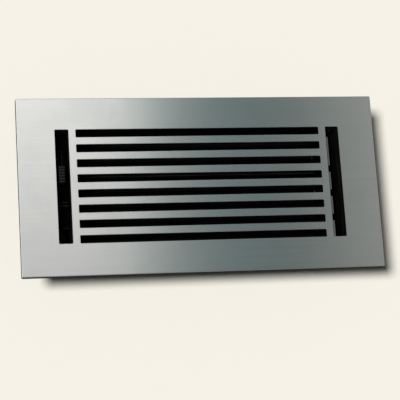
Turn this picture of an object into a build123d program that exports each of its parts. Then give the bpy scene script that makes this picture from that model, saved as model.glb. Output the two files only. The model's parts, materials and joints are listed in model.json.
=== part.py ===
from build123d import *
from math import cos, radians, sin
import os

# Floor register for a 4 by 10 inch duct. Millimetres, +Z up, +X along the long slots, +Y to the rear.
# The origin is the middle of the floor plane, which is the underside of the plate's rim.

# Duct opening in the floor, and the frame's room in it
DUCT_LENGTH = 254.0
DUCT_WIDTH = 101.6
DUCT_END_GAP = 0.2
DUCT_SIDE_GAP = 1.1

# Faceplate
PLATE_RIM = 22.225
PLATE_THICK = 6.0
PLATE_EDGE_R = 0.6
PLATE_CORNER_R = 1.0
SEAT_DEPTH = 1.5
SEAT_CORNER_R = 3.0

# Slots in the faceplate
SLOT_COUNT = 8
BAR_WIDTH = 6.0
BRIDGE_WIDTH = 6.1
END_SLOT_WIDTH = 10.9
SLOT_CORNER_R = 0.5
SLOT_EDGE_BREAK = 0.25

# Damper frame of folded sheet
SHEET = 1.0
BEND_R = 0.6
FRAME_DEPTH = 53.0
RAIL_MARGIN = 0.5
CAP_MARGIN = 0.4
HEM_HEIGHT = 6.0
HEM_GAP = 0.4
HEM_BEND_R = 0.15
CAP_FLANGE = 6.8
CAP_FLANGE_INSET = 3.0
CAP_RELIEF = 3.0
CAP_GAP = 0.2

# Rivets between rails and end caps
RIVET_R = 1.5
RIVET_HEAD_R = 2.6
RIVET_HEAD_H = 0.8
RIVET_TOP_DEPTH = 8.0
RIVET_OVER_HEM = 0.6
RIVET_FROM_CAP = 5.0
HOLE_FIT = 0.05

# Screws between end caps and faceplate
SCREW_R = 1.5
SCREW_HEAD_R = 2.8
SCREW_HEAD_H = 1.9
SCREW_HEAD_ROUND = 1.1
SCREW_BITE = 3.0
SCREW_TIP_GAP = 0.3
SCREW_FROM_RAIL = 15.3
SCREW_CLEARANCE = 0.2
DRIVE_WIDTH = 0.9
DRIVE_LENGTH = 3.4
DRIVE_DEPTH = 1.0

# Bulkheads with a notched top flange
BULKHEAD_HIDE = 0.1
BULKHEAD_SHOW = 2.7
FLANGE_MARGIN = 1.1
FLANGE_REAR_INSET = 8.3
FLANGE_FRONT_INSET = 1.0
NOTCH_WIDTH = 5.6
NOTCH_PITCH = 20.7
NOTCH_FRONT_INSET = 17.7
NOTCH_COUNT = 3
TENON_HEIGHT = 8.0
TENON_PROUD = 0.8
TENON_FIT = 0.1
TENON_TOP_DEPTH = 14.0
TENON_OVER_HEM = 2.0

# Damper blades
BLADE_COUNT = 3
BLADE_SHEET = 0.8
BLADE_LAP = 2.0
BLADE_LAP_GAP = 0.3
BLADE_SIDE_GAP = 0.4
BLADE_END_GAP = 1.5
BLADE_STRIP = 3.8
BLADE_STEP_RUN = 1.4
BLADE_HEM = 3.0
BLADE_TIP_R = 0.4
AXIS_DEPTH = 34.0
REST_OPEN = 13.0

# Blade stops lanced from the rails
STOP_COUNT = 3
STOP_SPACING = 70.0
STOP_WIDTH = 8.0
STOP_REACH = 3.0
STOP_GAP = 0.2
STOP_WINDOW = 4.0
STOP_CUT = 0.5

# Pivot rods, bushes, washers and retainers
ROD_R = 2.5
ROD_FIT = 0.05
ROD_FLAT = 1.9
ROD_PROUD = 0.8
ROD_TIP_BREAK = 0.4
BUSH_R = 4.0
BUSH_FLANGE_R = 5.5
BUSH_FLANGE_H = 2.8
BUSH_INSIDE = 0.6
WASHER_R = 4.6
WASHER_BORE_FIT = 0.15
WASHER_SHEET = 0.35
WASHER_SPACE = 0.8
WASHER_GAP = 0.1
RETAINER_R = 5.0
RETAINER_SHEET = 0.6
RETAINER_RIM = 1.6
RETAINER_CUP = 0.9
RETAINER_PRONGS = 5
PRONG_SLOT = 0.6
RETAINER_GAP = 0.2
RETAINER_FIT = 0.05
ROD_PAST_RETAINER = 1.2

# Cranks and their pins
CRANK_R = 14.0
CRANK_CLOSED = 45.0
CRANK_SHEET = 1.6
CRANK_HUB_R = 6.0
CRANK_END_R = 4.5
PIN_R = 2.0
PIN_FIT = 0.08
PIN_TAIL_R = 1.5
PIN_TAIL_HEAD_R = 2.3
PIN_TAIL_HEAD_H = 0.6
PIN_HEAD_R = 3.5
PIN_HEAD_H = 1.2
PIN_PLAY = 0.2

# Tie bar and thumb pad
BAR_SHEET = 1.6
BAR_END_R = 4.5
NECK_WIDTH = 9.0
NECK_FOOT_R = 3.0
PAD_OFFSET = 18.0
PAD_WIDTH = 5.2
PAD_LENGTH = 14.6
PAD_HEIGHT = 9.0
PAD_CORNER_R = 0.9
PAD_SINK = 0.45
PAD_ROOF = 2.0
PAD_FIT = 0.05
RIB_COUNT = 6
RIB_PITCH = 2.4
RIB_R = 0.85

# Guide strip for the neck, riveted to the left bulkhead
GUIDE_GAP = 0.6
GUIDE_PLAY = 0.4
GUIDE_CAP_GAP = 0.4
GUIDE_FLANGE = 8.5
GUIDE_REAR_INSET = 2.8
GUIDE_FRONT_INSET = 15.3
GUIDE_RIVET_INSET = 8.0
GUIDE_RIVET_GAP = 0.5
BEAD_WIDTH = 2.6
BEAD_RISE = 0.5
BEAD_FROM_FRONT = 20.3

# Levels and faces that the pieces share
TOP = SEAT_DEPTH
BOTTOM = -FRAME_DEPTH
AXIS_Z = -AXIS_DEPTH
HEM_THICK = 2 * SHEET + HEM_GAP
RAIL_IN = DUCT_WIDTH / 2 - DUCT_SIDE_GAP - HEM_THICK
RAIL_OUT = RAIL_IN + SHEET
CAP_OUT = DUCT_LENGTH / 2 - DUCT_END_GAP - CAP_FLANGE
CAP_IN = CAP_OUT - SHEET
SCREW_Y = RAIL_IN - SCREW_FROM_RAIL
SCREW_X = CAP_OUT + CAP_FLANGE - SCREW_HEAD_R - SCREW_CLEARANCE
HEM_TOP = BOTTOM + HEM_HEIGHT
RIVET_LEVELS = (-RIVET_TOP_DEPTH, HEM_TOP + RIVET_HEAD_R + RIVET_OVER_HEM)
TENON_LEVELS = (-TENON_TOP_DEPTH, HEM_TOP + TENON_HEIGHT / 2 + TENON_OVER_HEM)

# Plate and slots, which stand over the frame
PLATE_LENGTH = DUCT_LENGTH + 2 * PLATE_RIM
PLATE_WIDTH = DUCT_WIDTH + 2 * PLATE_RIM
END_SLOT_OUT = CAP_IN - CAP_MARGIN
END_SLOT_IN = END_SLOT_OUT - END_SLOT_WIDTH
SLOT_LENGTH = 2 * (END_SLOT_IN - BRIDGE_WIDTH)
FIELD_WIDTH = 2 * (RAIL_IN - RAIL_MARGIN)
SLOT_PITCH = (FIELD_WIDTH + BAR_WIDTH) / SLOT_COUNT
SLOT_WIDTH = SLOT_PITCH - BAR_WIDTH

# Bulkhead walls: the left one hides under its bridge, the right one's flange shows in the end slot
BULKHEAD_FLANGE = BRIDGE_WIDTH - FLANGE_MARGIN
LEFT_WALL = BULKHEAD_HIDE - END_SLOT_IN
RIGHT_WALL = END_SLOT_IN + BULKHEAD_SHOW - BULKHEAD_FLANGE

# Blade pattern across the frame
BLADE_PITCH = (2 * RAIL_IN - 2 * BLADE_SIDE_GAP - BLADE_LAP) / BLADE_COUNT
BLADE_HALF = (BLADE_PITCH + BLADE_LAP) / 2
BLADE_STEP = BLADE_SHEET + BLADE_LAP_GAP / 2
BLADE_LEFT = LEFT_WALL + SHEET + BLADE_END_GAP
BLADE_RIGHT = RIGHT_WALL - BLADE_END_GAP
BLADES = {
    name: (k - (BLADE_COUNT - 1) / 2) * BLADE_PITCH
    for k, name in enumerate(("front", "middle", "rear"))
}

# Stack of pieces along the rods, outwards from the left bulkhead
BUSH_FACE = LEFT_WALL - BUSH_FLANGE_H
CRANK_FACE = BUSH_FACE - WASHER_SPACE
CRANK_BACK = CRANK_FACE - CRANK_SHEET
BAR_FACE = CRANK_BACK - PIN_PLAY
BAR_BACK = BAR_FACE - BAR_SHEET
PIN_SEAT = BAR_BACK - PIN_PLAY
ROD_LEFT = CRANK_BACK - ROD_PROUD

# Stack outwards from the right bulkhead
RIGHT_BUSH_FACE = RIGHT_WALL + SHEET + BUSH_FLANGE_H
RETAINER_FACE = RIGHT_BUSH_FACE + RETAINER_GAP
ROD_RIGHT = RETAINER_FACE + RETAINER_CUP + ROD_PAST_RETAINER

# Where the tie bar stands at rest
CRANK_REST = CRANK_CLOSED - REST_OPEN
BAR_Y = -CRANK_R * sin(radians(CRANK_REST))
BAR_Z = AXIS_Z + CRANK_R * cos(radians(CRANK_REST))
BAR_MIDDLE = (BAR_FACE + BAR_BACK) / 2
PAD_TOP = PLATE_THICK - PAD_SINK - (AXIS_Z + CRANK_R)

# Guide strip, just below the pad's lowest place
GUIDE_Z = AXIS_Z + CRANK_R * cos(radians(CRANK_CLOSED)) + PAD_TOP - PAD_HEIGHT - GUIDE_GAP
GUIDE_FRONT = GUIDE_FRONT_INSET - RAIL_IN
GUIDE_REAR = RAIL_IN - GUIDE_REAR_INSET
GUIDE_RIVET_Z = GUIDE_Z - SHEET - BEND_R - RIVET_HEAD_R - GUIDE_RIVET_GAP


def block(x, y, z):
    """A box given by its low and high corner on each axis."""
    size = [high - low for low, high in (x, y, z)]
    middle = [(high + low) / 2 for low, high in (x, y, z)]
    return Pos(*middle) * Box(*size)


def cross_section(sketch, low, high):
    """Extrude a sketch drawn in Y and Z along X, from low to high."""
    return extrude(Plane.YZ.offset(low) * sketch, high - low)


def folded(path, thick, bend):
    """Section of a folded sheet: the path is one face, and the sheet lies on its left."""
    points = [Vector(*p) for p in path]
    runs = [(b - a).normalized() for a, b in zip(points, points[1:])]
    sides = [Vector(-run.Y, run.X) * thick for run in runs]
    turns = [a.X * b.Y - a.Y * b.X for a, b in zip(runs, runs[1:])]
    corners = [p + a + b for p, a, b in zip(points[1:-1], sides, sides[1:])]
    far = [points[0] + sides[0], *corners, points[-1] + sides[-1]]
    near_radii = [bend + thick if turn > 0 else bend for turn in turns]
    far_radii = [bend if turn > 0 else bend + thick for turn in turns]
    edges = [
        FilletPolyline(*points, radius=near_radii),
        FilletPolyline(*far, radius=far_radii),
        Line(points[0], far[0]),
        Line(points[-1], far[-1]),
    ]
    return make_face([edge for line in edges for edge in line.edges()])


def turned(profile):
    """Revolve a closed profile of (x, radius) points about the X axis."""
    return revolve(make_face(Polyline(*profile, close=True)), Axis.X)


def along_x(radius, low, high, y, z):
    """A round bar along X."""
    return cross_section(Pos(y, z) * Circle(radius), low, high)


def along_y(radius, low, high, x, z):
    """A round bar along Y."""
    return extrude(Plane.XZ.offset(-low) * Pos(x, z) * Circle(radius), low - high)


def slot_outlines():
    """All slots of the grille: the long ones in a column, and one across at each end."""
    first = (FIELD_WIDTH - SLOT_WIDTH) / 2
    end_x = (END_SLOT_IN + END_SLOT_OUT) / 2
    long_slot = RectangleRounded(SLOT_LENGTH, SLOT_WIDTH, SLOT_CORNER_R)
    end_slot = RectangleRounded(END_SLOT_WIDTH, FIELD_WIDTH, SLOT_CORNER_R)
    column = [Pos(0, first - k * SLOT_PITCH) * long_slot for k in range(SLOT_COUNT)]
    return column + [Pos(side * end_x, 0) * end_slot for side in (-1, 1)]


def screw_places():
    """Where the end caps are screwed to the plate."""
    return [(side * SCREW_X, y) for side in (-1, 1) for y in (-SCREW_Y, SCREW_Y)]


def make_faceplate():
    """Solid plate with rounded edges, slots through it and a shallow seat for the damper under it."""
    plate = extrude(RectangleRounded(PLATE_LENGTH, PLATE_WIDTH, PLATE_CORNER_R), PLATE_THICK)
    plate = fillet(plate.faces().sort_by(Axis.Z)[-1].edges(), PLATE_EDGE_R)
    for outline in slot_outlines():
        plate -= extrude(outline, PLATE_THICK)
    rims = plate.faces().sort_by(Axis.Z)[-1].inner_wires()
    plate = chamfer([edge for rim in rims for edge in rim.edges()], SLOT_EDGE_BREAK)
    plate -= extrude(RectangleRounded(DUCT_LENGTH, DUCT_WIDTH, SEAT_CORNER_R), SEAT_DEPTH)
    bore = extrude(Circle(SCREW_R + HOLE_FIT), SCREW_BITE + SCREW_TIP_GAP)
    for x, y in screw_places():
        plate -= Pos(x, y, TOP) * bore
    return plate


def stop_tab():
    """Blade stop on the rear side, folded in under a closed blade's edge."""
    top = AXIS_Z + BLADE_STEP - BLADE_SHEET - STOP_GAP
    path = [(RAIL_IN, top + BEND_R + SHEET), (RAIL_IN, top), (RAIL_IN - STOP_REACH, top)]
    return cross_section(folded(path, SHEET, BEND_R), -STOP_WIDTH / 2, STOP_WIDTH / 2)


def stop_window():
    """Hole that the blade stop was folded out of, below it."""
    top = AXIS_Z + BLADE_STEP - BLADE_SHEET - STOP_GAP - SHEET
    half = STOP_WIDTH / 2 + STOP_CUT
    return block((-half, half), (RAIL_IN, RAIL_OUT), (top - STOP_WINDOW, top))


def make_rail(side):
    """Folded side wall, hemmed outwards at the bottom. side is 1 at the rear and -1 at the front.

    The stops are under the front blade's edge and over the rear blade's, which is where these blades close.
    """
    path = [
        (RAIL_IN, TOP),
        (RAIL_IN, BOTTOM),
        (RAIL_IN + HEM_THICK, BOTTOM),
        (RAIL_IN + HEM_THICK, HEM_TOP),
    ]
    rail = cross_section(folded(path, SHEET, HEM_BEND_R), -CAP_OUT, CAP_OUT)
    if side < 0:
        rail = mirror(rail, Plane.XZ)
    flip = Plane.XZ if side < 0 else Plane.XY.offset(AXIS_Z)
    tab = mirror(stop_tab(), flip)
    window = mirror(stop_window(), flip)
    for k in range(STOP_COUNT):
        place = Pos((k - (STOP_COUNT - 1) / 2) * STOP_SPACING, 0, 0)
        rail = rail - place * window + place * tab
    for x, z in rivet_places():
        rail -= along_y(RIVET_R + HOLE_FIT, side * RAIL_IN, side * RAIL_OUT, x, z)
    for wall in (LEFT_WALL, RIGHT_WALL):
        for level in TENON_LEVELS:
            half = TENON_HEIGHT / 2 + TENON_FIT
            rail -= block(
                (wall - TENON_FIT, wall + SHEET + TENON_FIT),
                sorted((side * RAIL_IN, side * RAIL_OUT)),
                (level - half, level + half),
            )
    return rail


def rivet_places():
    """Rivets through the rails and the end caps' sides."""
    x = CAP_OUT - RIVET_FROM_CAP
    return [(side * x, z) for side in (-1, 1) for z in RIVET_LEVELS]


def make_end_cap(side):
    """Folded pan that closes one end, with a flange turned out on top. side is -1 at the left."""
    inner = RIGHT_WALL + SHEET if side > 0 else -LEFT_WALL
    low = inner + CAP_GAP
    pan = block((low, CAP_OUT), (-RAIL_IN, RAIL_IN), (BOTTOM, TOP - CAP_RELIEF))
    outer = pan.faces().sort_by(Axis.X)[-1]
    floor = pan.faces().sort_by(Axis.Z)[0]
    bends = outer.edges().filter_by(Axis.Z) + floor.edges().filter_by(Axis.X)
    pan = fillet(bends + (outer.edges() & floor.edges()), BEND_R + SHEET)
    openings = [pan.faces().sort_by(Axis.X)[0], pan.faces().sort_by(Axis.Z)[-1]]
    cap = offset(pan, -SHEET, openings=openings)
    path = [(CAP_OUT + CAP_FLANGE, TOP), (CAP_IN, TOP), (CAP_IN, TOP - CAP_RELIEF - SHEET)]
    half = RAIL_IN - CAP_FLANGE_INSET
    cap += extrude(Plane.XZ * folded(path, SHEET, BEND_R), half, both=True)
    if side < 0:
        cap = mirror(cap, Plane.YZ)
    for x, y in screw_places():
        if x * side > 0:
            hole = Circle(SCREW_R + SCREW_CLEARANCE)
            cap -= Pos(x, y, TOP - SHEET) * extrude(hole, SHEET)
    for x, z in rivet_places():
        if x * side > 0:
            cap -= along_y(RIVET_R + HOLE_FIT, -RAIL_IN, RAIL_IN, x, z)
    return cap


def make_bulkhead(wall):
    """Folded inner wall with the pivot holes and a notched flange; the same pressing at both ends."""
    path = [(wall + BULKHEAD_FLANGE, TOP), (wall, TOP), (wall, BOTTOM)]
    sheet = extrude(Plane.XZ * folded(path, SHEET, BEND_R), RAIL_IN, both=True)
    notch_x = (wall, wall + BULKHEAD_FLANGE)
    notch_z = (TOP - SHEET - BEND_R, TOP)
    for k in range(NOTCH_COUNT):
        y = NOTCH_FRONT_INSET - RAIL_IN + k * NOTCH_PITCH
        sheet -= block(notch_x, (y - NOTCH_WIDTH / 2, y + NOTCH_WIDTH / 2), notch_z)
    sheet -= block(notch_x, (RAIL_IN - FLANGE_REAR_INSET, RAIL_IN), notch_z)
    sheet -= block(notch_x, (-RAIL_IN, FLANGE_FRONT_INSET - RAIL_IN), notch_z)
    reach = RAIL_OUT + TENON_PROUD
    for level in TENON_LEVELS:
        height = (level - TENON_HEIGHT / 2, level + TENON_HEIGHT / 2)
        sheet += block((wall, wall + SHEET), (-reach, reach), height)
    for y in BLADES.values():
        sheet -= along_x(BUSH_R + HOLE_FIT, wall, wall + SHEET, y, AXIS_Z)
    for y in guide_rivet_places():
        sheet -= along_x(RIVET_R + HOLE_FIT, wall, wall + SHEET, y, GUIDE_RIVET_Z)
    return sheet


def guide_rivet_places():
    """Where along Y the guide strip is riveted to the left bulkhead."""
    return GUIDE_FRONT + GUIDE_RIVET_INSET, GUIDE_REAR - GUIDE_RIVET_INSET


def make_guide_strip():
    """Folded strip with a slot that the neck runs in, a bead across it and a flange down the bulkhead."""
    outer = GUIDE_CAP_GAP - CAP_IN
    path = [(LEFT_WALL, GUIDE_Z - GUIDE_FLANGE), (LEFT_WALL, GUIDE_Z), (outer, GUIDE_Z)]
    strip = extrude(Plane.XZ.offset(-GUIDE_FRONT) * folded(path, SHEET, BEND_R), GUIDE_FRONT - GUIDE_REAR)
    bead_r = (BEAD_WIDTH ** 2 / 4 + BEAD_RISE ** 2) / (2 * BEAD_RISE)
    bead = (outer, LEFT_WALL - SHEET - BEND_R, GUIDE_FRONT + BEAD_FROM_FRONT, GUIDE_Z + BEAD_RISE - bead_r)
    crest = block(bead[:2], (GUIDE_FRONT, GUIDE_REAR), (GUIDE_Z - SHEET, GUIDE_Z + BEAD_RISE))
    strip += along_x(bead_r, *bead) & crest
    strip -= along_x(bead_r - SHEET, *bead)
    travel = 2 * CRANK_R * sin(radians(CRANK_CLOSED))
    slot = SlotOverall(travel + NECK_WIDTH + 2 * GUIDE_PLAY, BAR_SHEET + 2 * GUIDE_PLAY, rotation=90)
    strip -= Pos(BAR_MIDDLE, PAD_OFFSET, GUIDE_Z - SHEET) * extrude(slot, SHEET)
    for y in guide_rivet_places():
        strip -= along_x(RIVET_R + HOLE_FIT, LEFT_WALL - SHEET, LEFT_WALL, y, GUIDE_RIVET_Z)
    return strip


def make_guide_rivets():
    """Rivets along X, through the guide strip's flange and the left bulkhead."""
    profile = [
        (-SHEET - RIVET_HEAD_H, 0),
        (-SHEET - RIVET_HEAD_H, RIVET_HEAD_R),
        (-SHEET, RIVET_HEAD_R),
        (-SHEET, RIVET_R),
        (SHEET, RIVET_R),
        (SHEET, RIVET_HEAD_R),
        (SHEET + RIVET_HEAD_H, RIVET_HEAD_R),
        (SHEET + RIVET_HEAD_H, 0),
    ]
    rivet = turned(profile)
    return Compound([Pos(LEFT_WALL, y, GUIDE_RIVET_Z) * rivet for y in guide_rivet_places()])


def make_rivets():
    """Rivets along Y, with a head on each side of the two sheets."""
    rivets = []
    for x, z in rivet_places():
        for side in (-1, 1):
            inner = side * (RAIL_IN - SHEET)
            outer = side * RAIL_OUT
            head = side * RIVET_HEAD_H
            rivet = along_y(RIVET_R, inner, outer, x, z)
            rivet += along_y(RIVET_HEAD_R, inner - head, inner, x, z)
            rivet += along_y(RIVET_HEAD_R, outer, outer + head, x, z)
            rivets.append(rivet)
    return Compound(rivets)


def make_screws():
    """Pan-head screws up through the end caps' flanges into the plate, with a cross drive."""
    under = TOP - SHEET
    head = extrude(Circle(SCREW_HEAD_R), -SCREW_HEAD_H)
    head = fillet(head.faces().sort_by(Axis.Z)[0].edges(), SCREW_HEAD_ROUND)
    drive = Pos(0, 0, -SCREW_HEAD_H) * extrude(Rectangle(DRIVE_LENGTH, DRIVE_WIDTH), DRIVE_DEPTH)
    screw = head + extrude(Circle(SCREW_R), SHEET + SCREW_BITE) - drive - Rot(0, 0, 90) * drive
    return Compound([Pos(x, y, under) * screw for x, y in screw_places()])


def make_bushes():
    """Flanged nylon bushes, pushed into the bulkheads from outside."""
    bore = ROD_R + ROD_FIT
    barrel = SHEET + BUSH_INSIDE
    profile = [
        (-BUSH_FLANGE_H, bore),
        (-BUSH_FLANGE_H, BUSH_FLANGE_R),
        (0, BUSH_FLANGE_R),
        (0, BUSH_R),
        (barrel, BUSH_R),
        (barrel, bore),
    ]
    left = turned(profile)
    right = Rot(0, 0, 180) * left
    ends = ((LEFT_WALL, left), (RIGHT_WALL + SHEET, right))
    return Compound([Pos(x, y, AXIS_Z) * bush for x, bush in ends for y in BLADES.values()])


def blade_wing():
    """Half of a blade's section: flat, then stepped up to a hemmed strip that laps its neighbour."""
    half = BLADE_SHEET / 2
    strip = BLADE_HALF - BLADE_STRIP
    step = strip - BLADE_STEP_RUN
    low = BLADE_STEP - BLADE_SHEET
    hem = BLADE_HALF - BLADE_HEM
    top = BLADE_STEP + BLADE_SHEET
    outline = Polyline(
        (0, -half),
        (step, -half),
        (strip, low),
        (BLADE_HALF, low),
        (BLADE_HALF, top),
        (hem, top),
        (hem, BLADE_STEP),
        (strip, BLADE_STEP),
        (step, half),
        (0, half),
        close=True,
    )
    wing = make_face(outline)
    tips = wing.vertices().group_by(Axis.X)[-1]
    return fillet(tips, BLADE_TIP_R)


def make_blade():
    """Folded blade about the X axis, closed: front wing up, rear wing down, a channel over the rod."""
    inside = ROD_R + ROD_FIT
    outside = inside + BLADE_SHEET
    channel = Circle(outside) & Pos(0, outside / 2) * Rectangle(2 * outside, outside)
    front = mirror(blade_wing(), Plane.YZ)
    section = front + Rot(0, 0, 180) * front + channel - Circle(inside)
    return cross_section(section, BLADE_LEFT, BLADE_RIGHT)


def rod_section(radius, flat):
    """Round section with one flat, which the crank is pressed on."""
    return Circle(radius) & Pos(0, flat - radius) * Rectangle(2 * radius, 2 * radius)


def make_rod():
    """Pivot rod about the X axis, with a flat at the crank and broken edges at the tips."""
    rod = cross_section(Circle(ROD_R), CRANK_FACE, ROD_RIGHT)
    rod += cross_section(rod_section(ROD_R, ROD_FLAT), ROD_LEFT, CRANK_FACE)
    tip = rod.faces().sort_by(Axis.X)[-1]
    return chamfer(tip.edges(), ROD_TIP_BREAK)


def make_crank():
    """Stamped arm that points up: round at the rod and at the pin, with straight flanks."""
    hub = Circle(CRANK_HUB_R)
    end = Pos(0, CRANK_R) * Circle(CRANK_END_R)
    arm = make_hull(hub.edges() + end.edges())
    arm -= rod_section(ROD_R + ROD_FIT, ROD_FLAT + ROD_FIT)
    arm -= Pos(0, CRANK_R) * Circle(PIN_TAIL_R + HOLE_FIT)
    return cross_section(arm, CRANK_BACK, CRANK_FACE)


def make_crank_pin():
    """Shoulder rivet in the crank's end: a head, a shoulder for the tie bar and a peened tail."""
    tail = CRANK_FACE + PIN_TAIL_HEAD_H
    profile = [
        (PIN_SEAT - PIN_HEAD_H, 0),
        (PIN_SEAT - PIN_HEAD_H, PIN_HEAD_R),
        (PIN_SEAT, PIN_HEAD_R),
        (PIN_SEAT, PIN_R),
        (CRANK_BACK, PIN_R),
        (CRANK_BACK, PIN_TAIL_R),
        (CRANK_FACE, PIN_TAIL_R),
        (CRANK_FACE, PIN_TAIL_HEAD_R),
        (tail, PIN_TAIL_HEAD_R),
        (tail, 0),
    ]
    return Pos(0, 0, CRANK_R) * turned(profile)


def make_spring_washer():
    """Conical washer between the bush and the crank: its wide edge is towards the bush."""
    bore = ROD_R + WASHER_BORE_FIT
    wide = BUSH_FACE - WASHER_GAP
    profile = [
        (CRANK_FACE, bore),
        (CRANK_FACE + WASHER_SHEET, bore),
        (wide, WASHER_R),
        (wide - WASHER_SHEET, WASHER_R),
    ]
    return turned(profile)


def make_retainer():
    """Push-on ring: a flat rim, and a cup slit into prongs that grip the rod's right end."""
    grip = ROD_R + RETAINER_FIT
    rim = RETAINER_R - RETAINER_RIM
    back = RETAINER_FACE + RETAINER_SHEET
    crest = RETAINER_FACE + RETAINER_CUP
    profile = [
        (RETAINER_FACE, RETAINER_R),
        (back, RETAINER_R),
        (back, rim),
        (crest, grip + RETAINER_SHEET),
        (crest, grip),
        (RETAINER_FACE + RETAINER_SHEET / 2, grip),
        (RETAINER_FACE, rim),
    ]
    ring = turned(profile)
    slit = block((RETAINER_FACE, crest), (-PRONG_SLOT / 2, PRONG_SLOT / 2), (0, rim))
    for k in range(RETAINER_PRONGS):
        ring -= Rot(k * 360 / RETAINER_PRONGS, 0, 0) * slit
    return ring


def make_tie_bar():
    """Stamped bar about its middle hole, with an upright neck for the thumb pad."""
    bar = SlotCenterToCenter((BLADE_COUNT - 1) * BLADE_PITCH, 2 * BAR_END_R)
    neck_top = PAD_TOP - PAD_ROOF - PAD_FIT
    neck = Pos(PAD_OFFSET, neck_top / 2) * Rectangle(NECK_WIDTH, neck_top)
    outline = bar + neck
    foot = outline.vertices().filter_by(lambda v: abs(v.Y - BAR_END_R) < PIN_FIT)
    foot = foot.filter_by(lambda v: abs(abs(v.X - PAD_OFFSET) - NECK_WIDTH / 2) < PIN_FIT)
    outline = fillet(foot, NECK_FOOT_R)
    for y in BLADES.values():
        outline -= Pos(y, 0) * Circle(PIN_R + PIN_FIT)
    return cross_section(outline, BAR_BACK, BAR_FACE)


def make_thumb_pad():
    """Moulded cap on the neck, with ribs across its top."""
    crown = PAD_TOP - RIB_R
    base = PAD_TOP - PAD_HEIGHT
    side = Pos(0, (crown + base) / 2) * Rectangle(PAD_LENGTH, crown - base)
    for k in range(RIB_COUNT):
        side += Pos((k - (RIB_COUNT - 1) / 2) * RIB_PITCH, crown) * Circle(RIB_R)
    pad = cross_section(side, BAR_MIDDLE - PAD_WIDTH / 2, BAR_MIDDLE + PAD_WIDTH / 2)
    plan = Pos(BAR_MIDDLE, 0, base) * RectangleRounded(PAD_WIDTH, PAD_LENGTH, PAD_CORNER_R)
    pad &= extrude(plan, PAD_HEIGHT)
    half = NECK_WIDTH / 2 + PAD_FIT
    pad -= block(
        (BAR_BACK - PAD_FIT, BAR_FACE + PAD_FIT),
        (-half, half),
        (base, PAD_TOP - PAD_ROOF),
    )
    return Pos(0, PAD_OFFSET, 0) * pad


def blade_set(name, y):
    """The pieces that turn with one blade, in their places at rest."""
    seat = Pos(0, y, AXIS_Z) * Rot(-REST_OPEN, 0, 0)
    lean = seat * Rot(CRANK_CLOSED, 0, 0)
    return {
        f"{name}_blade": seat * make_blade(),
        f"{name}_pivot_rod": lean * make_rod(),
        f"{name}_crank": lean * make_crank(),
        f"{name}_crank_pin": lean * make_crank_pin(),
        f"{name}_spring_washer": seat * make_spring_washer(),
        f"{name}_rod_retainer": seat * make_retainer(),
    }


def register():
    """Every piece by name, in the register's own frame."""
    bar_seat = Pos(0, BAR_Y, BAR_Z)
    pieces = {
        "faceplate": make_faceplate(),
        "side_rail_front": make_rail(-1),
        "side_rail_rear": make_rail(1),
        "end_cap_left": make_end_cap(-1),
        "end_cap_right": make_end_cap(1),
        "bulkhead_left": make_bulkhead(LEFT_WALL),
        "bulkhead_right": make_bulkhead(RIGHT_WALL),
        "frame_rivets": make_rivets(),
        "face_screws": make_screws(),
        "pivot_bushes": make_bushes(),
        "guide_strip": make_guide_strip(),
        "guide_rivets": make_guide_rivets(),
        "tie_bar": bar_seat * make_tie_bar(),
        "thumb_pad": bar_seat * make_thumb_pad(),
    }
    for name, y in BLADES.items():
        pieces.update(blade_set(name, y))
    return pieces


os.makedirs("parts", exist_ok=True)
for node, piece in register().items():
    export_step(piece, f"parts/{node}.step")
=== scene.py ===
import json
from math import cos, pi, radians, sin

import bmesh
import bpy
import numpy as np
from bpy.props import FloatProperty, FloatVectorProperty, PointerProperty
from mathutils import Matrix, Vector


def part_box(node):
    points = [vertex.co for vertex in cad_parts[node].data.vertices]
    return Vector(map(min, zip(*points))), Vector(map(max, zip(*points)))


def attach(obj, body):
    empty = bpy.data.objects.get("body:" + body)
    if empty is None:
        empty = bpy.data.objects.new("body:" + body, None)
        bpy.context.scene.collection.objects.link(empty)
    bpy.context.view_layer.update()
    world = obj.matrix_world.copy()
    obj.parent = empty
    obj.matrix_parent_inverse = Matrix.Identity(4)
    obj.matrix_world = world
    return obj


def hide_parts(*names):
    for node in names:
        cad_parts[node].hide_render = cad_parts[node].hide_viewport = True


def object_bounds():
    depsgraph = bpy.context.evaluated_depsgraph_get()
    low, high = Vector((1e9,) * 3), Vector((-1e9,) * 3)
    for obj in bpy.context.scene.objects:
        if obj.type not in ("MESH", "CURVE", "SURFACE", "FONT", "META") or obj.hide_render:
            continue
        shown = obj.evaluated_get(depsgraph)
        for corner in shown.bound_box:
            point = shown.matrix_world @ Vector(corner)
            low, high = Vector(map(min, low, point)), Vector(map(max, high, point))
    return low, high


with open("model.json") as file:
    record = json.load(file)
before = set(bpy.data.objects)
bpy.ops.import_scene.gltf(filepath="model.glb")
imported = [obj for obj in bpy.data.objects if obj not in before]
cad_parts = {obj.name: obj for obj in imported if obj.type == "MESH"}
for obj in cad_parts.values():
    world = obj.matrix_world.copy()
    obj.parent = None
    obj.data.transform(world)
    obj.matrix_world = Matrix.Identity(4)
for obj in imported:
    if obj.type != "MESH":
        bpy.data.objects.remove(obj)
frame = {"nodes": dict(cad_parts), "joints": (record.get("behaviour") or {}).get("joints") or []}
CAD_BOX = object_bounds()

bl_info = {
    "name": "Floor register",
    "version": (1, 0, 0),
    "blender": (4, 5, 0),
    "location": "3D View > Sidebar > Register",
    "description": "Finishes, small pieces and a studio for a brushed steel floor register",
    "category": "Object",
}

BLADES = ("front", "middle", "rear")

# Rivets: radii of head, stem and shank, rise of the dome, thickness of the two sheets
RIVET_HEAD = 0.0026
RIVET_STEM = 0.0009
RIVET_SHANK = 0.0015
RIVET_RISE = 0.0008
RIVET_GRIP = 0.002

# Thumb pad: ribs, their pitch and height, radius of the rounded edges
PAD_RIBS = 6
PAD_PITCH = 0.0024
PAD_RIB = 0.0009
PAD_EDGE = 0.0009

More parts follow.
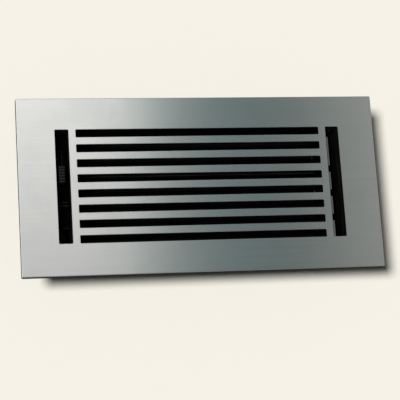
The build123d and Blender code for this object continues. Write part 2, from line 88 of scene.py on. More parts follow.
# Guide strip: half width of the neck's slot and the ends of its straight part, the bead's place and half width,
# and how far the rubbing reaches from an edge
GUIDE_HALF = 0.0012
GUIDE_ENDS = (0.0044, 0.0316)
BEAD_PLACE = -0.0117
BEAD_HALF = 0.0013
RUB_REACH = 0.0008

# Places, in metres, between which one finish gives way to the next
# RAIL_FACE and CAP_FACE mark where the enamel's painted shade inside the box gives way to the outside paint
RAIL_FACE = (0.0474, 0.0482)
# RAIL_INSIDE marks where the painted shade on the inner rivet heads begins
RAIL_INSIDE = (0.0471, 0.0475)
CAP_FACE = (0.1192, 0.1199)
LOWEST_EDGE = (-0.0526, -0.0505)
# BARE_EDGE: the bulkhead flange is black painted shadow up to here, beside the slot's edge
BARE_EDGE = (0.1086, 0.109)
BARE_LEVEL = (0.0002, 0.0006)
BEAD_SIDE = (0.0002, 0.0006)
BLADE_TIP = (0.0157, 0.0163)

# Card that the steel mirrors: position along it, and colour
CARD_START = (0.08, (1.1, 1.1, 1.08, 1.0))
CARD_END = (0.86, (0.42, 0.43, 0.405, 1.0))
CARD_BETWEEN = (
    (0.28, (1.08, 1.08, 1.06, 1.0)),
    (0.36, (0.42, 0.49, 0.485, 1.0)),
    (0.47, (0.2, 0.265, 0.27, 1.0)),
    (0.64, (0.13, 0.18, 0.185, 1.0)),
)
CARD_CENTRE = (0.2, 0.23)


class RegisterFinishes(bpy.types.PropertyGroup):
    """Colours and finishes of the register."""

    steel: FloatVectorProperty(
        name="Steel",
        description="Colour of the brushed faceplate",
        subtype="COLOR",
        default=(0.62, 0.625, 0.615),
    )
    steel_grain: FloatProperty(
        name="Steel grain",
        description="Roughness of the brushed faceplate",
        subtype="FACTOR",
        min=0.0,
        max=1.0,
        default=0.19,
    )
    steel_pull: FloatProperty(
        name="Steel pull",
        description="How far the brushing stretches reflections across the lines",
        subtype="FACTOR",
        min=0.0,
        max=1.0,
        default=0.97,
    )
    enamel: FloatVectorProperty(
        name="Enamel",
        description="Colour of the black enamel on the damper",
        subtype="COLOR",
        default=(0.006, 0.006, 0.0065),
    )
    zinc: FloatVectorProperty(
        name="Zinc",
        description="Colour of the zinc plating on screws and bare edges",
        subtype="COLOR",
        default=(0.58, 0.59, 0.62),
    )
    aluminium: FloatVectorProperty(
        name="Aluminium",
        description="Colour of the rivets",
        subtype="COLOR",
        default=(0.66, 0.67, 0.68),
    )
    rod: FloatVectorProperty(
        name="Rod",
        description="Colour of the dark pivot rods",
        subtype="COLOR",
        default=(0.07, 0.07, 0.075),
    )
    phosphate: FloatVectorProperty(
        name="Phosphate",
        description="Colour of the dark cranks and tie bar",
        subtype="COLOR",
        default=(0.008, 0.008, 0.009),
    )
    nylon: FloatVectorProperty(
        name="Nylon",
        description="Colour of the pivot bushes",
        subtype="COLOR",
        default=(0.012, 0.012, 0.013),
    )
    pad: FloatVectorProperty(
        name="Pad",
        description="Colour of the moulded thumb pad",
        subtype="COLOR",
        default=(0.0088, 0.0091, 0.0102),
    )


class RegisterStage(bpy.types.PropertyGroup):
    """Floor, light and camera."""

    floor: FloatVectorProperty(
        name="Floor",
        description="Colour of the pale floor",
        subtype="COLOR",
        default=(0.83, 0.8, 0.72),
    )
    backdrop: FloatVectorProperty(
        name="Backdrop",
        description="Colour seen past the floor",
        subtype="COLOR",
        default=(0.913, 0.88, 0.791),
    )
    key_power: FloatProperty(
        name="Key power",
        description="Strength of the key light",
        min=0.0,
        default=3.58,
    )
    key_softness: FloatProperty(
        name="Key softness",
        description="Angle that the key light fills",
        subtype="ANGLE",
        default=radians(11.0),
    )
    key_from: FloatVectorProperty(
        name="Key from",
        description="Direction in which the key light stands",
        subtype="DIRECTION",
        default=(-0.447, -0.043, 1.0),
    )
    fill: FloatProperty(
        name="Fill",
        description="Strength of the even light from all round",
        min=0.0,
        default=0.07,
    )
    camera_place: FloatVectorProperty(
        name="Camera place",
        description="Where the camera stands",
        subtype="TRANSLATION",
        unit="LENGTH",
        default=(-0.22584, -0.25143, 1.09681),
    )
    camera_ahead: FloatVectorProperty(
        name="Camera ahead",
        description="Direction in which the camera looks",
        subtype="DIRECTION",
        default=(0.1958, 0.2088, -0.9582),
    )
    camera_up: FloatVectorProperty(
        name="Camera up",
        description="Direction that is up in the picture",
        subtype="DIRECTION",
        default=(0.0216, 0.9759, 0.2171),
    )
    camera_lens: FloatProperty(
        name="Camera lens",
        description="Focal length in millimetres on a 36 mm wide sensor",
        min=1.0,
        default=126.04,
    )


def add(tree, kind, sockets=None, **settings):
    """Add a node; each socket gets a plain value or the output that feeds it."""
    node = tree.nodes.new(kind)
    for name, value in settings.items():
        setattr(node, name, value)
    for name, value in (sockets or {}).items():
        if isinstance(value, bpy.types.NodeSocket):
            tree.links.new(value, node.inputs[name])
        else:
            node.inputs[name].default_value = value
    return node


def start_finish(name):
    """A new material's empty tree, and the coordinates of the piece itself."""
    material = bpy.data.materials.new(name)
    material.use_nodes = True
    tree = material.node_tree
    tree.nodes.clear()
    return material, tree, add(tree, "ShaderNodeTexCoord").outputs["Object"]


def end_finish(tree, sockets):
    """Close the tree with one shader."""
    shader = add(tree, "ShaderNodeBsdfPrincipled", sockets)
    add(tree, "ShaderNodeOutputMaterial", {"Surface": shader.outputs["BSDF"]})


def stretched(tree, vector, scale, turn=(0.0, 0.0, 0.0), shift=(0.0, 0.0, 0.0)):
    """Coordinates moved, turned and scaled, so that a pattern can follow a piece."""
    sockets = {"Vector": vector, "Scale": scale, "Rotation": turn, "Location": shift}
    return add(tree, "ShaderNodeMapping", sockets).outputs["Vector"]


def noise(tree, vector, scale, detail=2.0, rough=0.5):
    """Cloudy noise from 0 to 1."""
    sockets = {"Vector": vector, "Scale": scale, "Detail": detail, "Roughness": rough}
    return add(tree, "ShaderNodeTexNoise", sockets).outputs["Fac"]


def ramp(tree, value, low, high, start=0.0, end=1.0):
    """Smooth step of a value from start to end, between low and high."""
    sockets = {"Value": value, "From Min": low, "From Max": high, "To Min": start, "To Max": end}
    return add(tree, "ShaderNodeMapRange", sockets, interpolation_type="SMOOTHSTEP").outputs["Result"]


def sums(tree, operation, a, b=0.0):
    """One sum of two numbers."""
    return add(tree, "ShaderNodeMath", {0: a, 1: b}, operation=operation).outputs["Value"]


def apart(tree, a, b):
    """How far two numbers lie apart."""
    return sums(tree, "ABSOLUTE", sums(tree, "SUBTRACT", a, b))


def tint(tree, share, a, b):
    """Colour from a to b by share."""
    mix = add(tree, "ShaderNodeMix", {0: share, 6: a, 7: b}, data_type="RGBA")
    return mix.outputs[2]


def relief(tree, height, depth):
    """Bumps of a height pattern, with their depth in metres."""
    sockets = {"Height": height, "Distance": depth, "Strength": 1.0}
    return add(tree, "ShaderNodeBump", sockets).outputs["Normal"]


def axes(tree, vector):
    """The three parts of a vector."""
    return add(tree, "ShaderNodeSeparateXYZ", {"Vector": vector}).outputs


def shade(color, factor=1.0):
    """A colour with its alpha, made lighter or darker."""
    return (*[channel * factor for channel in color], 1.0)


def brushed_plate(finishes):
    """Steel brushed along X on top, rougher on its rounded edges and darkened there as painted shade; walls and
    underside near-black, painted shade that keeps the slot walls and rims dark.
    """
    material, tree, place = start_finish("brushed_plate")
    fine = noise(tree, stretched(tree, place, (9.0, 1700.0, 200.0)), 1.0, 5.0, 0.6)
    broad = noise(tree, stretched(tree, place, (5.0, 330.0, 60.0)), 1.0, 3.0, 0.55)
    smudge = noise(tree, place, 26.0, 4.0, 0.6)
    lines = sums(tree, "ADD", sums(tree, "MULTIPLY", fine, 0.72), sums(tree, "MULTIPLY", broad, 0.28))
    steel = tint(tree, ramp(tree, lines, 0.3, 0.7), shade(finishes.steel, 0.965), shade(finishes.steel, 1.03))
    steel = tint(tree, ramp(tree, smudge, 0.45, 0.7, 0.0, 0.6), steel, shade(finishes.steel, 0.93))
    facing = axes(tree, add(tree, "ShaderNodeNewGeometry").outputs["Normal"])
    # painted shade: slot walls, rims and underside get near-black enamel instead of steel, so they stay dark
    black = ramp(tree, facing["Z"], 0.3, 0.5, 1.0, 0.0)
    turned = ramp(tree, facing["Z"], 0.97, 0.999, 1.0, 0.0)
    # painted shade: the rounded edges drop to 0.6 of the steel colour, on top of their real roughness
    steel = tint(tree, turned, steel, shade(finishes.steel, 0.6))
    grain = sums(tree, "ADD", finishes.steel_grain - 0.04, sums(tree, "MULTIPLY", smudge, 0.05))
    grain = sums(tree, "ADD", grain, sums(tree, "MULTIPLY", lines, 0.03))
    across = add(tree, "ShaderNodeCombineXYZ", {"Y": 1.0})
    end_finish(tree, {
        "Base Color": tint(tree, black, steel, shade(finishes.enamel, 0.5)),
        "Metallic": sums(tree, "SUBTRACT", 1.0, black),
        "Roughness": sums(tree, "MAXIMUM", grain, sums(tree, "MULTIPLY", turned, 0.55)),
        "Specular IOR Level": 0.02,
        "Anisotropic": finishes.steel_pull,
        "Tangent": across.outputs["Vector"],
        "Normal": relief(tree, lines, 0.000006),
    })
    return material


def black_enamel(finishes):
    """Matt black enamel with a fine orange peel, worn on the lowest edges; inside the box its colour carries
    streaky painted shade, far darker than outside.
    """
    material, tree, place = start_finish("black_enamel")
    peel = noise(tree, place, 900.0, 2.0, 0.5)
    cloud = noise(tree, place, 35.0, 4.0, 0.6)
    scrape = noise(tree, stretched(tree, place, (60.0, 60.0, 900.0)), 1.0, 4.0, 0.65)
    enamel = finishes.enamel
    spot = axes(tree, place)
    low = ramp(tree, spot["Z"], *LOWEST_EDGE, 1.0, 0.0)
    worn = sums(tree, "MULTIPLY", low, ramp(tree, scrape, 0.52, 0.66))
    paint = tint(tree, ramp(tree, cloud, 0.35, 0.75), shade(enamel, 2.2), shade(enamel, 4.0))
    across = ramp(tree, sums(tree, "ABSOLUTE", spot["Y"]), *RAIL_FACE)
    along = ramp(tree, sums(tree, "ABSOLUTE", spot["X"]), *CAP_FACE)
    outside = sums(tree, "MAXIMUM", across, along)
    # painted shade inside the box: streaky enamel at 0.05 to 1.4 of its colour, far darker than the outside
    # paint
    streak = noise(tree, stretched(tree, place, (60.0, 22.0, 130.0)), 1.0, 4.0, 0.6)
    painted_inside_shade = tint(tree, ramp(tree, streak, 0.4, 0.65), shade(enamel, 0.05), shade(enamel, 1.4))
    paint = tint(tree, outside, painted_inside_shade, paint)
    end_finish(tree, {
        "Base Color": tint(tree, worn, paint, shade(finishes.zinc, 0.7)),
        "Metallic": worn,
        "Roughness": sums(tree, "SUBTRACT", 0.9, sums(tree, "MULTIPLY", outside, 0.42)),
        "Specular IOR Level": 0.03,
        "Coat Weight": sums(tree, "MULTIPLY", outside, 0.45),
        "Coat Roughness": 0.38,
        "Normal": relief(tree, peel, 0.00003),
    })
    return material


def bulkhead_sheet(finishes):
    """Black enamel on the wall, darkened as painted shade, and bare metal kept dark grey along the flange at
    the top, with black painted shadow over its inner part next to the plate.
    """
    material, tree, place = start_finish("bulkhead_sheet")
    peel = noise(tree, place, 900.0, 2.0, 0.5)
    cloud = noise(tree, place, 60.0, 4.0, 0.6)
    drawn = noise(tree, stretched(tree, place, (2600.0, 60.0, 900.0)), 1.0, 3.0, 0.6)
    spot = axes(tree, place)
    # painted shadow: the flange stays black up to BARE_EDGE, where the plate's shadow lies beside the slot's
    # edge
    bare = sums(tree, "MULTIPLY", ramp(tree, spot["Z"], *BARE_LEVEL), ramp(tree, spot["X"], *BARE_EDGE))
    # painted shade: the wall's enamel is only a quarter to a half of the plain enamel colour, so the sunlit
    # wall inside the box stays dark
    paint = tint(tree, cloud, shade(finishes.enamel, 0.25), shade(finishes.enamel, 0.5))
    plating = tint(tree, drawn, (0.07, 0.07, 0.067, 1.0), (0.17, 0.17, 0.162, 1.0))
    end_finish(tree, {
        "Base Color": tint(tree, bare, paint, plating),
        "Metallic": bare,
        "Roughness": sums(tree, "SUBTRACT", 0.85, sums(tree, "MULTIPLY", bare, 0.4)),
        "Specular IOR Level": 0.05,
        "Normal": relief(tree, peel, 0.00003),
    })
    return material


def guide_sheet(finishes, neck_x, front_y):
    """Flat black paint, darkened far below the plain enamel as painted shade, rubbed to grey round the neck's
    slot, beside the bead and at the front end.
    """
    material, tree, place = start_finish("guide_sheet")
    cloud = noise(tree, place, 90.0, 4.0, 0.6)
    rub = noise(tree, place, 700.0, 3.0, 0.6)
    spot = axes(tree, place)
    aside = sums(tree, "SUBTRACT", spot["X"], neck_x)
    front, rear = GUIDE_ENDS
    along = apart(tree, spot["Y"], (front + rear) / 2.0)
    past = sums(tree, "MAXIMUM", sums(tree, "SUBTRACT", along, (rear - front) / 2.0), 0.0)
    squares = [sums(tree, "MULTIPLY", part, part) for part in (aside, past)]
    away = sums(tree, "SQRT", sums(tree, "ADD", *squares))
    rim = ramp(tree, away, GUIDE_HALF, GUIDE_HALF + RUB_REACH, 1.0, 0.0)
    ridge = apart(tree, spot["Y"], BEAD_PLACE)
    sides = ramp(tree, apart(tree, ridge, BEAD_HALF), *BEAD_SIDE, 1.0, 0.0)
    end = ramp(tree, spot["Y"], front_y, front_y + RUB_REACH, 1.0, 0.0)
    worn = sums(tree, "MAXIMUM", rim, sums(tree, "MAXIMUM", sides, end))
    worn = sums(tree, "MULTIPLY", worn, ramp(tree, rub, 0.3, 0.6, 0.5, 1.0))
    # painted shade: only 0.04 to 0.12 of the enamel colour, so the sunlit strip in the lever's slot stays dark
    paint = tint(tree, cloud, shade(finishes.enamel, 0.04), shade(finishes.enamel, 0.12))
    end_finish(tree, {
        "Base Color": tint(tree, worn, paint, shade(finishes.zinc, 0.026)),
        "Metallic": worn,
        "Roughness": sums(tree, "SUBTRACT", 0.8, sums(tree, "MULTIPLY", worn, 0.5)),
        "Specular IOR Level": 0.01,
    })
    return material


def blade_sheet(finishes, name, axle_y, axle_z, open_angle):
    """Flat black paint, darkened well below the frame's outer enamel as painted shade, rubbed to grey on the
    tips that lap the next blade.
    """
    material, tree, place = start_finish(name)
    cloud = noise(tree, place, 45.0, 4.0, 0.6)
    peel = noise(tree, place, 1100.0, 2.0, 0.5)
    turn = -open_angle
    shift = (0.0, -axle_y * cos(turn) + axle_z * sin(turn), -axle_y * sin(turn) - axle_z * cos(turn))
    chord = stretched(tree, place, (1.0, 1.0, 1.0), (turn, 0.0, 0.0), shift)
    tip = ramp(tree, sums(tree, "ABSOLUTE", axes(tree, chord)["Y"]), *BLADE_TIP)
    rub = noise(tree, stretched(tree, place, (35.0, 1200.0, 1200.0)), 1.0, 3.0, 0.6)
    worn = sums(tree, "MULTIPLY", tip, ramp(tree, rub, 0.35, 0.65, 0.2, 1.0))
    # painted shade: 0.2 to 0.4 of the enamel colour, so the blades stay dark where light comes in through the
    # slots
    paint = tint(tree, cloud, shade(finishes.enamel, 0.2), shade(finishes.enamel, 0.4))
    end_finish(tree, {
        "Base Color": tint(tree, worn, paint, shade(finishes.zinc, 0.12)),
        "Roughness": ramp(tree, cloud, 0.3, 0.7, 0.7, 0.85),
        "Specular IOR Level": 0.04,
        "Normal": relief(tree, peel, 0.00002),
    })
    return material


def plated_metal(name, color, grain, blotch=0.12, painted_shade_inside=1.0):
    """Plated metal: drawn lines, cloudy blotches in colour and grain, and painted shade that darkens it inside
    the rails.
    """
    material, tree, place = start_finish(name)
    cloud = noise(tree, place, 240.0, 4.0, 0.6)
    lines = noise(tree, stretched(tree, place, (40.0, 1800.0, 1800.0)), 1.0, 3.0, 0.6)
    # painted shade: inside the rails the colour is scaled down towards black by the given factor
    outside = ramp(tree, sums(tree, "ABSOLUTE", axes(tree, place)["Y"]), *RAIL_INSIDE, painted_shade_inside, 1.0)
    cloudy = tint(tree, cloud, shade(color, 1.0 - blotch), shade(color, 1.0 + blotch))
    end_finish(tree, {
        "Base Color": tint(tree, outside, (0.0, 0.0, 0.0, 1.0), cloudy),
        "Metallic": 1.0,
        "Roughness": ramp(tree, lines, 0.3, 0.7, grain - 0.08, grain + 0.08),
        "Normal": relief(tree, lines, 0.000004),
    })
    return material


def moulded(name, color, grain, tooth, depth, specular=0.5, crest=None):
    """Moulded plastic with the fine tooth of its mould; with a crest, painted shade darkens it below the tops
    of the ribs.
    """
    material, tree, place = start_finish(name)
    texture = noise(tree, place, tooth, 3.0, 0.6)
    cloud = noise(tree, place, 150.0, 3.0, 0.5)
    plastic = tint(tree, cloud, shade(color, 0.85), shade(color, 1.15))
    if crest is not None:
        # painted shade in the grooves between the ribs: a tenth of the colour below their tops
        raised = ramp(tree, axes(tree, place)["Z"], crest - 0.8 * PAD_RIB, crest - 0.1 * PAD_RIB)
        plastic = tint(tree, raised, shade(color, 0.1), plastic)
    end_finish(tree, {
        "Base Color": plastic,
        "Roughness": ramp(tree, cloud, 0.3, 0.7, grain - 0.06, grain + 0.06),
        "Specular IOR Level": specular,
        "Normal": relief(tree, texture, depth),
    })
    return material


def dress(material, *nodes):
    """Give a finish to the solids of the frame."""
    for name in nodes:
        slots = frame["nodes"][name].data.materials
        slots.clear()
        slots.append(material)


def surface(name, points, around=False):
    """Mesh of a grid of points, row by row; around joins each row's end to its start."""
    rows, columns = points.shape[:2]
    index = np.arange(rows * columns).reshape(rows, columns)
    if around:
        index = np.concatenate([index, index[:, :1]], axis=1)
    corners = (index[:-1, :-1], index[:-1, 1:], index[1:, 1:], index[1:, :-1])
    faces = np.stack([corner.ravel() for corner in corners], axis=1)
    mesh = bpy.data.meshes.new(name)
    mesh.from_pydata(points.reshape(-1, 3).tolist(), [], faces.tolist())
    return mesh


def piece(name, meshes, material, slot, body, *nodes):
    """Join meshes into one piece with closed poles and outward faces; it stands for the nodes."""
    solid = bmesh.new()
    for mesh in meshes:
        solid.from_mesh(mesh)
        bpy.data.meshes.remove(mesh)
    bmesh.ops.remove_doubles(solid, verts=solid.verts, dist=1e-7)
    bmesh.ops.dissolve_degenerate(solid, edges=solid.edges, dist=1e-8)
    bmesh.ops.recalc_face_normals(solid, faces=solid.faces)
    mesh = bpy.data.meshes.new(name)
    solid.to_mesh(mesh)
    solid.free()
    mesh.shade_smooth()
    mesh.set_sharp_from_angle(angle=radians(32.0))
    mesh.materials.append(material)
    made = bpy.data.objects.new(name, mesh)
    bpy.context.scene.collection.objects.link(made)
    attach(made, body)
    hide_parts(*nodes)
    return made


def rivet_surface(x, face, z, side):
    """Rivet turned about an axis along Y through (x, z), with the crown of its head at y = face.

    Radius r and depth d below the crown run along one profile. Over the sunk stem d is 0.55 of the rise.
    Over the head r = stem + (head - stem) sin t and d = rise (1 - cos t ^ 0.7), t from 0 to a quarter turn.
    Then come the shank, and the far head with r = head cos u and d = rise + grip + rise sin u.
    """
    t = np.linspace(0.0, pi / 2.0, 14)
    u = np.linspace(0.0, pi / 2.0, 10)
    under = RIVET_RISE + RIVET_GRIP
    radius = np.concatenate([
        np.linspace(0.0, RIVET_STEM, 5),
        RIVET_STEM + (RIVET_HEAD - RIVET_STEM) * np.sin(t),
        [RIVET_SHANK, RIVET_SHANK, RIVET_HEAD],
        RIVET_HEAD * np.cos(u),
    ])
    depth = np.concatenate([
        np.full(5, 0.55 * RIVET_RISE),
        RIVET_RISE * (1.0 - np.cos(t) ** 0.7),
        [RIVET_RISE, under, under],
        under + RIVET_RISE * np.sin(u),
    ])
    turn = np.linspace(0.0, 2.0 * pi, 40, endpoint=False)
    grid = np.empty((len(radius), len(turn), 3))
    grid[..., 0] = x + np.outer(radius, np.cos(turn))
    grid[..., 1] = face - side * depth[:, None]
    grid[..., 2] = z + np.outer(radius, np.sin(turn))
    return surface("rivet", grid, around=True)


def pad_surface(low, high):
    """Ribbed pad in a box: a closed outline in Y and Z, carried along X and drawn in at both ends.

    The outline's top is crown - edge + (edge + rib |cos(pi y / pitch + phase)| ^ 1.3) f. Here f falls from 1
    to 0 as a quarter circle over the last edge of the length, and the phase puts a rib in each of the pitches.
    Along X the outline shrinks towards its core by a quarter circle of the edge's radius, and by all at the
    caps.
    """
    half = (high.y - low.y) / 2.0
    crown = high.z - PAD_RIB
    core = (low.z + crown) / 2.0
    y = np.linspace(-half, half, 145)
    wave = np.abs(np.cos(pi * y / PAD_PITCH + pi / 2.0 * (PAD_RIBS + 1))) ** 1.3
    beyond = (np.abs(y) - half + PAD_EDGE).clip(0.0) / PAD_EDGE
    fall = np.sqrt(np.clip(1.0 - beyond ** 2, 0.0, 1.0))
    top = crown - PAD_EDGE + (PAD_EDGE + PAD_RIB * wave) * fall
    ys = np.concatenate([y, y[::-1]])
    zs = np.concatenate([top, np.full_like(y, low.z)])
    t = np.linspace(0.0, pi / 2.0, 8)
    run = PAD_EDGE * (1.0 - np.cos(t))
    drawn = PAD_EDGE * (1.0 - np.sin(t))
    x = np.concatenate([low.x + run[:1], low.x + run, high.x - run[::-1], high.x - run[:1]])
    shrink = 1.0 - np.concatenate([[half], drawn, drawn[::-1], [half]]) / half
    grid = np.empty((len(x), len(ys), 3))
    grid[..., 0] = x[:, None]
    grid[..., 1] = (high.y + low.y) / 2.0 + shrink[:, None] * ys
    grid[..., 2] = core + shrink[:, None] * (zs - core)
    return surface("pad", grid, around=True)


class FLOORREGISTER_OT_faceplate(bpy.types.Operator):
    """Brush the faceplate"""

    bl_idname = "floor_register.faceplate"
    bl_label = "Faceplate"

    def execute(self, context):
        dress(brushed_plate(context.scene.register_finishes), "faceplate")
        return {"FINISHED"}


class FLOORREGISTER_OT_damper_frame(bpy.types.Operator):
    """Paint the rails, end caps, bulkheads and guide strip"""

    bl_idname = "floor_register.damper_frame"
    bl_label = "Damper frame"

    def execute(self, context):
        finishes = context.scene.register_finishes
        walls = ("side_rail_front", "side_rail_rear", "end_cap_left", "end_cap_right")
        dress(black_enamel(finishes), *walls)
        dress(bulkhead_sheet(finishes), "bulkhead_left", "bulkhead_right")
        bar_low, bar_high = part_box("tie_bar")
        strip_low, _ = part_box("guide_strip")
        dress(guide_sheet(finishes, (bar_low.x + bar_high.x) / 2.0, strip_low.y), "guide_strip")
        return {"FINISHED"}


class FLOORREGISTER_OT_blades(bpy.types.Operator):
    """Paint the blades"""

    bl_idname = "floor_register.blades"
    bl_label = "Blades"

    def execute(self, context):
        joints = {joint["child"]: joint for joint in frame["joints"]}
        for blade in BLADES:
            joint = joints[f"{blade}_vane"]
            _, y, z = joint["pos_m"]
            open_angle = -radians(joint["range_deg"][0]) * joint["axis"][0]
            name = f"{blade}_blade"
            dress(blade_sheet(context.scene.register_finishes, f"{name}_paint", y, z, open_angle), name)
        return {"FINISHED"}


class FLOORREGISTER_OT_pivots(bpy.types.Operator):
    """Finish the rods, bushes, spring washers, retainers and screws"""

    bl_idname = "floor_register.pivots"
    bl_label = "Pivots and screws"

    def execute(self, context):
        finishes = context.scene.register_finishes
        dress(plated_metal("zinc_plate", finishes.zinc, 0.34), "face_screws")
        dress(plated_metal("drawn_rod", finishes.rod, 0.4), *[f"{b}_pivot_rod" for b in BLADES])
        blued = plated_metal("blued_spring", (0.12, 0.125, 0.16), 0.3, 0.3)
        dress(blued, *[f"{b}_{end}" for b in BLADES for end in ("spring_washer", "rod_retainer")])
        dress(moulded("nylon", finishes.nylon, 0.42, 1800.0, 0.00001), "pivot_bushes")
        return {"FINISHED"}


class FLOORREGISTER_OT_linkage(bpy.types.Operator):
    """Finish the cranks, their pins and the tie bar"""

    bl_idname = "floor_register.linkage"
    bl_label = "Linkage"

    def execute(self, context):
        finishes = context.scene.register_finishes
        dark = moulded("phosphate", finishes.phosphate, 0.6, 1400.0, 0.00001, 0.2)
        dress(dark, "tie_bar", *[f"{b}_{end}" for b in BLADES for end in ("crank", "crank_pin")])
        return {"FINISHED"}


class FLOORREGISTER_OT_rivets(bpy.types.Operator):
    """Make domed rivets with a sunk stem"""

    bl_idname = "floor_register.rivets"
    bl_label = "Rivets"

    def execute(self, context):
        low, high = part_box("frame_rivets")
        columns = (low.x + RIVET_HEAD, high.x - RIVET_HEAD)
        levels = (low.z + RIVET_HEAD, high.z - RIVET_HEAD)
        meshes = [
            rivet_surface(x, face, z, side)
            for x in columns for z in levels for side, face in ((-1.0, low.y), (1.0, high.y))
        ]
        finishes = context.scene.register_finishes
        # painted shade: the rivet heads inside the frame keep only a twentieth of their colour
        metal = plated_metal("rivet_aluminium", finishes.aluminium, 0.36, painted_shade_inside=0.05)
        piece("rivet_heads", meshes, metal, "rivet_metal", "frame", "frame_rivets")
        dress(metal, "guide_rivets")
        return {"FINISHED"}


class FLOORREGISTER_OT_thumb_pad(bpy.types.Operator):
    """Mould the ribbed thumb pad"""

    bl_idname = "floor_register.thumb_pad"
    bl_label = "Thumb pad"

    def execute(self, context):
        low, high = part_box("thumb_pad")
        pad = moulded("pad_plastic", context.scene.register_finishes.pad, 0.5, 2600.0, 0.00002, 0.15, high.z)
        piece("ribbed_pad", [pad_surface(low, high)], pad, "pad_plastic", "operator", "thumb_pad")
        return {"FINISHED"}


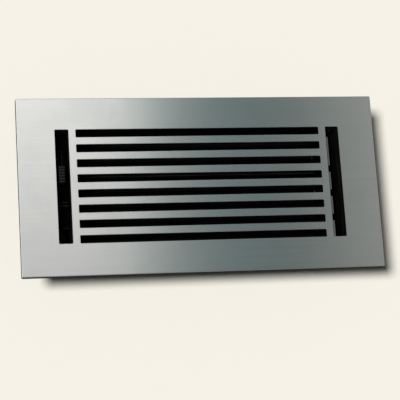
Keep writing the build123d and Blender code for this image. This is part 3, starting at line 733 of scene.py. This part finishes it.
class FLOORREGISTER_OT_stage(bpy.types.Operator):
    """Set the pale floor, the soft light and the camera"""

    bl_idname = "floor_register.stage"
    bl_label = "Stage"

    def execute(self, context):
        scene = context.scene
        stage = scene.register_stage
        scene.view_settings.view_transform = "Standard"
        self.floor(scene, stage)
        self.key(scene, stage)
        self.surround(scene, stage)
        self.camera(scene, stage)
        return {"FINISHED"}

    def floor(self, scene, stage):
        """A wide floor at the register's lowest point."""
        reach = np.linspace(-6.0, 6.0, 9)
        x, y = np.meshgrid(reach, reach)
        grid = np.stack([x, y, np.full_like(x, CAD_BOX[0].z)], axis=-1)
        mesh = surface("pale_floor", grid)
        material, tree, place = start_finish("pale_floor")
        fleck = noise(tree, place, 60.0, 4.0, 0.6)
        end_finish(tree, {
            "Base Color": tint(tree, fleck, shade(stage.floor, 0.995), shade(stage.floor, 1.005)),
            "Roughness": 0.9,
            "Specular IOR Level": 0.0,
        })
        mesh.materials.append(material)
        floor = bpy.data.objects.new("pale_floor", mesh)
        scene.collection.objects.link(floor)

    def key(self, scene, stage):
        """One soft key light, high on the left."""
        light = bpy.data.lights.new("key", "SUN")
        light.energy = stage.key_power
        light.angle = stage.key_softness
        key = bpy.data.objects.new("key", light)
        key.rotation_mode = "QUATERNION"
        key.rotation_quaternion = Vector(stage.key_from).to_track_quat("Z", "Y")
        scene.collection.objects.link(key)

    def surround(self, scene, stage):
        """A pale backdrop, an even fill, and a bright card on the left that the steel mirrors."""
        world = bpy.data.worlds.new("studio")
        world.use_nodes = True
        world.cycles.sampling_method = "NONE"
        tree = world.node_tree
        tree.nodes.clear()
        scene.world = world
        way = axes(tree, add(tree, "ShaderNodeTexCoord").outputs["Generated"])
        rise = sums(tree, "MAXIMUM", way["Z"], 0.02)
        lean = sums(tree, "DIVIDE", way["X"], rise)
        back = sums(tree, "DIVIDE", way["Y"], rise)
        share = sums(tree, "DIVIDE", sums(tree, "SUBTRACT", lean, 0.05), 0.35)
        lit = ramp(tree, share, 0.25, 0.5, 1.0, 0.25)
        card = add(tree, "ShaderNodeValToRGB", {"Fac": share})
        stops = card.color_ramp.elements
        stops[0].position, stops[0].color = CARD_START
        stops[1].position, stops[1].color = CARD_END
        for position, color in CARD_BETWEEN:
            stops.new(position).color = color
        aside = [apart(tree, *pair) for pair in zip((lean, back), CARD_CENTRE)]
        near = ramp(tree, sums(tree, "MAXIMUM", *aside), 0.5, 1.1, 1.0, 0.0)
        tilt = sums(tree, "MULTIPLY", ramp(tree, back, -0.1, 0.56, -1.0, 0.96), lit)
        strength = sums(tree, "ADD", sums(tree, "MULTIPLY", tilt, near), 1.0)
        room = tint(tree, ramp(tree, way["X"], -0.9, 0.9), (0.8, 0.8, 0.78, 1.0), (0.52, 0.53, 0.525, 1.0))
        mirrored = tint(tree, near, room, card.outputs["Color"])
        light = add(tree, "ShaderNodeLightPath").outputs
        fill = add(tree, "ShaderNodeBackground", {"Color": (1.0, 0.99, 0.97, 1.0), "Strength": stage.fill})
        mirror = add(tree, "ShaderNodeBackground", {"Color": mirrored, "Strength": strength})
        beyond = add(tree, "ShaderNodeBackground", {"Color": shade(stage.backdrop), "Strength": 1.0})
        seen = add(tree, "ShaderNodeMixShader", {0: light["Is Glossy Ray"], 1: fill.outputs[0],
                                                 2: mirror.outputs[0]})
        seen = add(tree, "ShaderNodeMixShader", {0: light["Is Camera Ray"], 1: seen.outputs[0],
                                                 2: beyond.outputs[0]})
        add(tree, "ShaderNodeOutputWorld", {"Surface": seen.outputs[0]})

    def camera(self, scene, stage):
        """The camera, from its place, the way it looks and its up."""
        lens = bpy.data.cameras.new("view")
        lens.sensor_fit = "HORIZONTAL"
        lens.sensor_width = 36.0
        lens.lens = stage.camera_lens
        ahead = Vector(stage.camera_ahead).normalized()
        right = ahead.cross(Vector(stage.camera_up)).normalized()
        up = right.cross(ahead)
        turn = Matrix((right, up, -ahead)).transposed().to_4x4()
        view = bpy.data.objects.new("view", lens)
        view.matrix_world = Matrix.Translation(stage.camera_place) @ turn
        scene.collection.objects.link(view)
        scene.camera = view


MAKERS = (
    FLOORREGISTER_OT_faceplate,
    FLOORREGISTER_OT_damper_frame,
    FLOORREGISTER_OT_blades,
    FLOORREGISTER_OT_pivots,
    FLOORREGISTER_OT_linkage,
    FLOORREGISTER_OT_rivets,
    FLOORREGISTER_OT_thumb_pad,
    FLOORREGISTER_OT_stage,
)


class FLOORREGISTER_PT_panel(bpy.types.Panel):
    """Makers and settings of the register"""

    bl_idname = "FLOORREGISTER_PT_panel"
    bl_label = "Floor register"
    bl_space_type = "VIEW_3D"
    bl_region_type = "UI"
    bl_category = "Register"

    def draw(self, context):
        for maker in MAKERS:
            self.layout.operator(maker.bl_idname)
        for group in (context.scene.register_finishes, context.scene.register_stage):
            box = self.layout.box()
            for name in group.__annotations__:
                box.prop(group, name)


CLASSES = (RegisterFinishes, RegisterStage, *MAKERS, FLOORREGISTER_PT_panel)


def register():
    for cls in CLASSES:
        bpy.utils.register_class(cls)
    bpy.types.Scene.register_finishes = PointerProperty(type=RegisterFinishes)
    bpy.types.Scene.register_stage = PointerProperty(type=RegisterStage)


def unregister():
    del bpy.types.Scene.register_stage
    del bpy.types.Scene.register_finishes
    for cls in reversed(CLASSES):
        bpy.utils.unregister_class(cls)


def main():
    """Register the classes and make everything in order."""
    register()
    for maker in MAKERS:
        group, name = maker.bl_idname.split(".")
        getattr(getattr(bpy.ops, group), name)()


if __name__ == "__main__":
    main()
